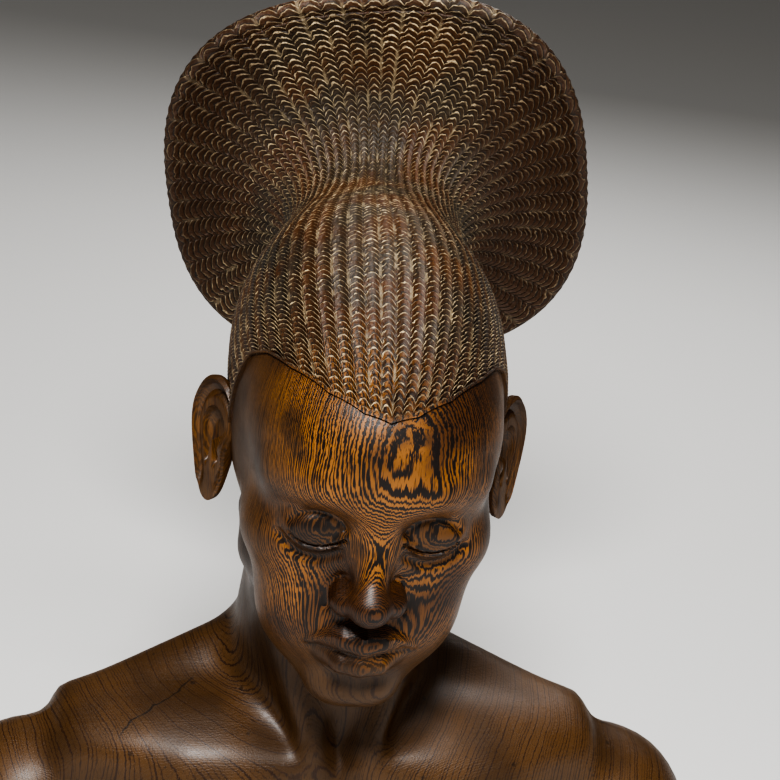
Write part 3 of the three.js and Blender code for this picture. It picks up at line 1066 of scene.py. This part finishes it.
@dataclass(frozen=True)
class Trunk:
    """How the growth layers run through a part of the block.

    Attributes:
        pith: Where the pith passes, in X and Y, at its middle height.
        middle: That height.
        bend_above: The radius of the pith's slow backward curve above its middle.
        bend_below: That below it.
        lean: How far the pith leans back for each millimetre up.
        layer: The thickness of a growth layer.
        sway: How far the layers swing.
    """

    pith: tuple[float, float]
    middle: float
    bend_above: float
    bend_below: float
    lean: float
    layer: float
    sway: float

    def depth(self, bench: Bench, place: Signal) -> Signal:
        """Returns the depth through the growth layers, in layers, wavy and finely ragged along the fibres."""
        x, y, z = bench.split(place)
        above = bench.math("MAXIMUM", z - self.middle, 0.0)
        below = bench.math("MINIMUM", z - self.middle, 0.0)
        across = x - self.pith[0]
        bend = above * above / (2 * self.bend_above) + below * below / (2 * self.bend_below)
        deep = y - self.pith[1] - bend - (z - self.middle) * self.lean
        radius = bench.math("SQRT", across * across + deep * deep)
        swing = bench.noise(place, 0.012, 1.0, (1, 1, 0.6)) * self.sway
        ripple = bench.noise(place, 0.06, 1.0, (1, 1, 0.35)) * 2.6
        coarse = bench.noise(place, 0.5, 1.0, (1, 1, 0.1)) * 0.9
        fibres = coarse + bench.noise(place, 1.7, 0.0, (1, 1, 0.05)) * 0.5
        return (radius + swing + ripple + fibres) / self.layer


@dataclass(frozen=True)
class Timber:
    """The block of hardwood, boldly banded in the head and quieter below.

    Attributes:
        upper: The trunk's layers in the head.
        lower: The trunk's layers in the shoulders.
        dark: The dark bands' colour.
        warm: The light bands' colour.
        deep: The light bands' colour where the wood is darker.
        plain: The quieter wood's colour.
        shade: The quieter wood's dark lines.
        eyes: The lids' places, round which shade is painted into the sockets.
        crack: The middle of the shoulder's drying check.
    """

    upper: Trunk = Trunk((-48.0, 330.5), 296.0, 80.0, 700.0, 0.13, 0.85, 5.0)
    lower: Trunk = Trunk((-30.0, 20.0), 100.0, 900.0, 900.0, 0.0, 1.5, 16.0)
    dark: Colour = (0.010, 0.005, 0.003, 1)
    warm: Colour = (0.31, 0.125, 0.026, 1)
    deep: Colour = (0.085, 0.031, 0.008, 1)
    plain: Colour = (0.105, 0.049, 0.015, 1)
    shade: Colour = (0.036, 0.014, 0.005, 1)
    eyes: tuple[Point, Point] = ((-36.0, -114.0, 247.0), (23.0, -119.0, 247.0))
    crack: Point = (-100.0, -20.0, 104.0)

    RELIEF = 0.12

    @staticmethod
    def bands(bench: Bench, depth: Signal) -> Signal:
        """Returns how light the bands are at a depth in layers, from 0 to 1."""
        settings = {"noise_dimensions": "1D"}
        sockets = {"W": depth * 0.9, "Scale": 1.0, "Detail": 1.0}
        uneven = Signal(bench, bench.node("ShaderNodeTexNoise", settings, sockets).outputs[0])
        return bench.math("SINE", depth * math.tau) * 0.3 + uneven

    def colour(self, bench: Bench, place: Signal) -> Signal:
        """Returns the bare wood's colour."""
        bold = bench.span(self.bands(bench, self.upper.depth(bench, place)), 0.4, 0.66)
        quiet = bench.span(self.bands(bench, self.lower.depth(bench, place)), 0.15, 0.38)
        pores = bench.span(bench.noise(place, 1.5, 1.0, (1, 1, 0.1)), 0.6, 0.72)
        patch = bench.span(bench.noise(place, 0.02, 2.0), 0.36, 0.64)
        side, _, height = bench.split(place)
        face = bench.span(bench.math("ABSOLUTE", side + bench.noise(place, 0.02) * 20 - 10), 72, 48)
        head = bench.span(height + bench.noise(place, 0.02) * 30, 170, 215) * (0.25 + face * 0.75)
        smudge = bench.span(bench.noise(place, 0.035, 1.0), 0.6, 0.72) * 0.6
        light = bench.mix(patch, self.warm, self.deep)
        # Shade is painted into the eye sockets and joined with random dark smudges in the wood.
        socket = self.socket_shade(bench, place) * 0.62
        smudge_and_socket_shade = bench.math("MAXIMUM", smudge, socket)
        banded = bench.mix(smudge_and_socket_shade, bench.mix(bold, self.dark, light), self.dark)
        plain = bench.mix(patch, self.plain, tuple(part * 0.62 for part in self.plain[:3]) + (1,))
        lined = bench.mix(quiet, self.shade, plain)
        open_grain = bench.math("MAXIMUM", pores * 0.55, self.checks(bench, place))
        return bench.mix(open_grain, bench.mix(head, lined, banded), self.dark)

    def socket_shade(self, bench: Bench, place: Signal) -> Signal:
        """Returns 1 in the eye sockets, where shade is painted darker, fading to 0 around them."""
        near = None
        for eye in self.eyes:
            away = bench.vector("DISTANCE", {0: place, 1: eye}, "Value")
            near = away if near is None else bench.math("MINIMUM", near, away)
        return bench.span(near + bench.noise(place, 0.08, 2.0) * 14, 31, 20)

    def checks(self, bench: Bench, place: Signal) -> Signal:
        """Returns 1 in the drying checks and pits of the shoulders, 0 elsewhere."""
        x, y, z = bench.split(place)
        low = bench.span(z, 170, 150)
        away = bench.vector("DISTANCE", {0: place, 1: self.crack}, "Value")
        wander = (bench.noise(place, 0.05, 3.0) - 0.5) * 16
        off = bench.math("ABSOLUTE", (x - self.crack[0]) * 0.6 - (y - self.crack[1]) * 0.8 + wander)
        crack = bench.span(off, 0.8, 0.25) * bench.span(away, 34, 24)
        sockets = {"Vector": place, "Scale": 0.055}
        pit = Signal(bench, bench.node("ShaderNodeTexVoronoi", {}, sockets).outputs["Distance"])
        return bench.math("MAXIMUM", crack * 0.85, bench.span(pit, 0.10, 0.05) * low * 0.6)

    def material(self) -> bpy.types.Material:
        """Returns the rubbed and oiled skin's material."""
        bench = Bench("rubbed_hardwood")
        place = bench.place()
        bands = bench.span(self.bands(bench, self.upper.depth(bench, place)), 0.36, 0.6)
        pores = bench.noise(place, 1.5, 1.0, (1, 1, 0.1))
        height = bands * 0.35 + bench.noise(place, 0.7, 3.0, (1, 1, 0.4)) * 0.4 + pores * 0.5
        rough = 0.33 + bench.noise(place, 0.08, 2.0) * 0.16
        return bench.finish(
            {
                "Base Color": self.colour(bench, place),
                "Roughness": rough,
                "Normal": bench.bump(height, self.RELIEF),
            }
        )


@dataclass(frozen=True)
class Braiding:
    """The gouge-cut braids over the same hardwood: dusty strands, pale rubbed edges with a painted highlight,
    and painted shadow in the cuts.

    Attributes:
        timber: The wood underneath.
        coiffure: The coiffure, for its strands and arch.
        hollow: The colour of the painted shadow in the cuts, along the seams between braids and on the disc's
            flanks.
        dust: The strands' dusty colour.
        edge: The pale strand edges' colour, rubbed wood with a painted highlight.
        warm: The warmer strands' colour.
    """

    timber: Timber
    coiffure: Coiffure
    hollow: Colour = (0.010, 0.007, 0.005, 1)
    dust: Colour = (0.040, 0.028, 0.016, 1)
    edge: Colour = (0.60, 0.47, 0.28, 1)
    warm: Colour = (0.072, 0.026, 0.006, 1)

    RELIEF = 0.9

    def material(self) -> bpy.types.Material:
        """Returns the hair's material."""
        bench = Bench("braided_hair")
        place = bench.place()
        chart = Signal(bench, bench.node("ShaderNodeUVMap", {"uv_map": "braids"}, {}).outputs[0])
        braid, strand, _ = bench.split(chart)
        tremble = (bench.noise(place, 0.3, 1.0) - 0.5) * 0.75
        crest = bench.math("ABSOLUTE", bench.math("FRACT", braid + tremble * 0.25) * 2 - 1)
        rise = strand + (crest**1.7) * self.coiffure.arch + tremble
        step = bench.math("FRACT", rise)
        # A band at each strand's raised lip, painted pale: rubbed wood and a painted highlight.
        edge = bench.span(step, 0.70, 0.84) * bench.span(step, 1.0, 0.94)
        # The low end of each strand's step, where shadow is painted.
        cut = bench.span(step, 0.3, 0.02)
        seam = bench.span(crest, 0.84, 1.0)
        strands = self.coiffure.cap_strands + self.coiffure.flare_strands
        carved = bench.span(strand, 0.1, 1.2) * bench.span(strand, strands + 4.5, strands + 2.0)
        wood = self.timber.colour(bench, place)
        grime = bench.span(bench.noise(place, 0.03, 2.0), 0.38, 0.62)
        front = bench.span(strand, 16.0, 1.0)
        side, _, _ = bench.split(place)
        flank = bench.span(bench.math("ABSOLUTE", side - 18), 40, 95) * bench.span(strand, 62.0, 72.0)
        dusty = bench.mix(bench.math("MAXIMUM", grime, front + flank), self.dust, self.warm)
        # The disc's flanks are darkened towards the shadow colour: a painted shade.
        body = bench.mix(flank * 0.4, bench.mix(0.12 + front * 0.55, dusty, wood), self.hollow)
        fleck = bench.span(bench.noise(place, 0.35, 2.0), 0.46, 0.64)
        bright = bench.span(bench.noise(place, 0.018, 1.0), 0.3, 0.6)
        # The pale edges, partly rubbed wood and partly a painted highlight, fainter on the disc's flanks.
        edge_wear_and_highlight = edge * (0.35 + fleck * 0.65) * (0.5 + bright * 0.5) * (1 - flank * 0.68)
        rubbed_and_lit = bench.mix(edge_wear_and_highlight, body, self.edge)
        # Painted shadow in the gouge cuts and, fainter, along the seams between braids.
        shaded = bench.mix(bench.math("MAXIMUM", cut, seam * 0.4) * 0.9, rubbed_and_lit, self.hollow)
        streak = bench.span(bench.noise(place, 0.09, 2.0), 0.5, 0.66) * bench.span(crest, 0.7, 0.9)
        shaded = bench.mix(streak * (0.3 - flank * 0.2), shaded, self.edge)
        colour = bench.mix(carved, wood, shaded)
        relief = (bench.span(step, 0.0, 0.9) * (1 - seam * 0.6) * bench.span(step, 1.0, 0.94)) * carved
        fine = bench.noise(place, 1.1, 2.0) * 0.18
        return bench.finish(
            {
                "Base Color": colour,
                "Roughness": 0.5 + fine,
                "Normal": bench.bump(relief + fine, self.RELIEF),
            }
        )


# ---- Bust ----


@dataclass
class Bust:
    """The whole carving.

    Attributes:
        head: The head.
        timber: The wood it is carved from.
    """

    head: Head = field(default_factory=Head)
    timber: Timber = field(default_factory=Timber)

    def build(self) -> bpy.types.Object:
        """Returns the carving as one closed piece, dressed and placed on its body."""
        neck_top = self.head.pose.to_bust(np.array([[0.0, 12.0, -20.0]]))[0]
        torso = Torso(neck_top=tuple(neck_top))
        coiffure = Coiffure(self.head)
        skin = Figure(self.head, torso).build()
        hair = coiffure.build()
        dressed = ((skin, self.timber.material()), (hair, Braiding(self.timber, coiffure).material()))
        for shell, material in dressed:
            shell.data.materials.append(material)
            log.info("%s: %d faces", shell.name, len(shell.data.polygons))
        for side in Side:
            ear = Ear(side, self.head.pose).build()
            ear.data.materials.append(skin.data.materials[0])
            unite(skin, ear)
        unite(skin, hair)
        skin.name = skin.data.name = "carved_bust"
        self.smooth(skin)
        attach(skin, "root")
        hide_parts(NODE)
        return skin

    @staticmethod
    def smooth(piece: bpy.types.Object) -> None:
        """Shades a piece smoothly except over sharp edges."""
        deselect()
        piece.select_set(True)
        bpy.context.view_layer.objects.active = piece
        bpy.ops.object.shade_smooth_by_angle(angle=math.radians(50))


# ---- Studio ----


@dataclass(frozen=True)
class Lamp:
    """A soft lamp.

    Attributes:
        name: Its name.
        azimuth: Where it stands round the bust, in degrees from straight in front.
        elevation: Its elevation, in degrees.
        distance: Its distance from the head, in metres.
        size: Its width, in metres.
        power: Its power, in watts.
        colour: Its colour.
    """

    name: str
    azimuth: float
    elevation: float
    distance: float
    size: float
    power: float
    colour: tuple[float, float, float] = (1.0, 1.0, 1.0)


@dataclass
class Studio:
    """The floor, the lamps and the camera.

    Attributes:
        aim: The point the camera and the lamps look at, in metres.
        azimuth: Where the camera stands round the bust, in degrees from straight in front.
        elevation: The camera's elevation, in degrees.
        roll: How far the bust leans clockwise in the view, in degrees.
        distance: The camera's distance, in metres.
        lens: The lens in millimetres, for a sensor 36 mm wide.
        side_step: How far the camera stands to its right of and above the line to the aim.
        lamps: The lamps.
    """

    aim: Point = (0.0, -0.040, 0.300)
    azimuth: float = -12.0
    elevation: float = 18.0
    roll: float = 6.5
    distance: float = 1.5
    lens: float = 127.4
    side_step: Point = (0.00924, 0.0065, 0.0)
    lamps: tuple[Lamp, ...] = (
        Lamp("key", -15, 45, 1.4, 0.4, 24),
        Lamp("fill", 30, 14, 1.7, 0.7, 1.4),
        Lamp("top", 15, 76, 1.4, 0.6, 7),
        Lamp("back", 160, 35, 1.8, 1.0, 14),
    )

    FLOOR_SIZE = 30.0
    ROOM_TINT = (1.0, 0.96, 0.9, 1.0)
    ROOM_STRENGTH = 0.09

    def toward(self, azimuth: float, elevation: float) -> Vector:
        """Returns the unit vector from the bust to where those angles stand."""
        turn, rise = math.radians(azimuth), math.radians(elevation)
        return Vector((math.sin(turn) * math.cos(rise), -math.cos(turn) * math.cos(rise), math.sin(rise)))

    def build(self) -> None:
        """Builds all of it."""
        self.lay_floor()
        for lamp in self.lamps:
            self.hang(lamp)
        self.light_room()
        self.set_camera()

    def lay_floor(self) -> None:
        """Lays a plain pale floor."""
        deselect()
        bpy.ops.mesh.primitive_plane_add(size=self.FLOOR_SIZE, location=(0, 0, 0))
        floor = bpy.context.object
        floor.name = "floor"
        bench = Bench("pale_floor")
        floor.data.materials.append(bench.finish({"Base Color": (0.78, 0.77, 0.75, 1), "Roughness": 0.8}))

    def hang(self, lamp: Lamp) -> None:
        """Hangs one soft lamp."""
        light = bpy.data.lights.new(lamp.name, "AREA")
        light.shape = "DISK"
        light.size = lamp.size
        light.energy = lamp.power
        light.color = lamp.colour
        holder = bpy.data.objects.new(lamp.name, light)
        toward = self.toward(lamp.azimuth, lamp.elevation)
        holder.location = Vector(self.aim) + toward * lamp.distance
        holder.rotation_euler = toward.to_track_quat("Z", "Y").to_euler()
        bpy.context.collection.objects.link(holder)

    def light_room(self) -> None:
        """Fills the room with soft light."""
        world = bpy.data.worlds.new("room")
        world.use_nodes = True
        background = world.node_tree.nodes["Background"]
        background.inputs["Color"].default_value = self.ROOM_TINT
        background.inputs["Strength"].default_value = self.ROOM_STRENGTH
        bpy.context.scene.world = world

    def set_camera(self) -> None:
        """Sets the camera."""
        camera = bpy.data.cameras.new("camera")
        camera.lens = self.lens
        camera.sensor_width = 36.0
        camera.clip_start, camera.clip_end = 0.05, 100
        holder = bpy.data.objects.new("camera", camera)
        toward = self.toward(self.azimuth, self.elevation)
        turn = toward.to_track_quat("Z", "Y").to_matrix() @ Matrix.Rotation(math.radians(self.roll), 3, "Z")
        holder.location = Vector(self.aim) + toward * self.distance + turn @ Vector(self.side_step)
        holder.rotation_euler = turn.to_euler()
        bpy.context.collection.objects.link(holder)
        bpy.context.scene.camera = holder
        bpy.context.scene.view_settings.look = "AgX - High Contrast"


def main() -> None:
    """Builds the bust and the studio."""
    logging.basicConfig(level=logging.INFO, format="%(message)s")
    bust = Bust().build()
    log.info("%s: %d vertices, %d faces", bust.name, len(bust.data.vertices), len(bust.data.polygons))
    Studio().build()


if __name__ == "__main__":
    main()
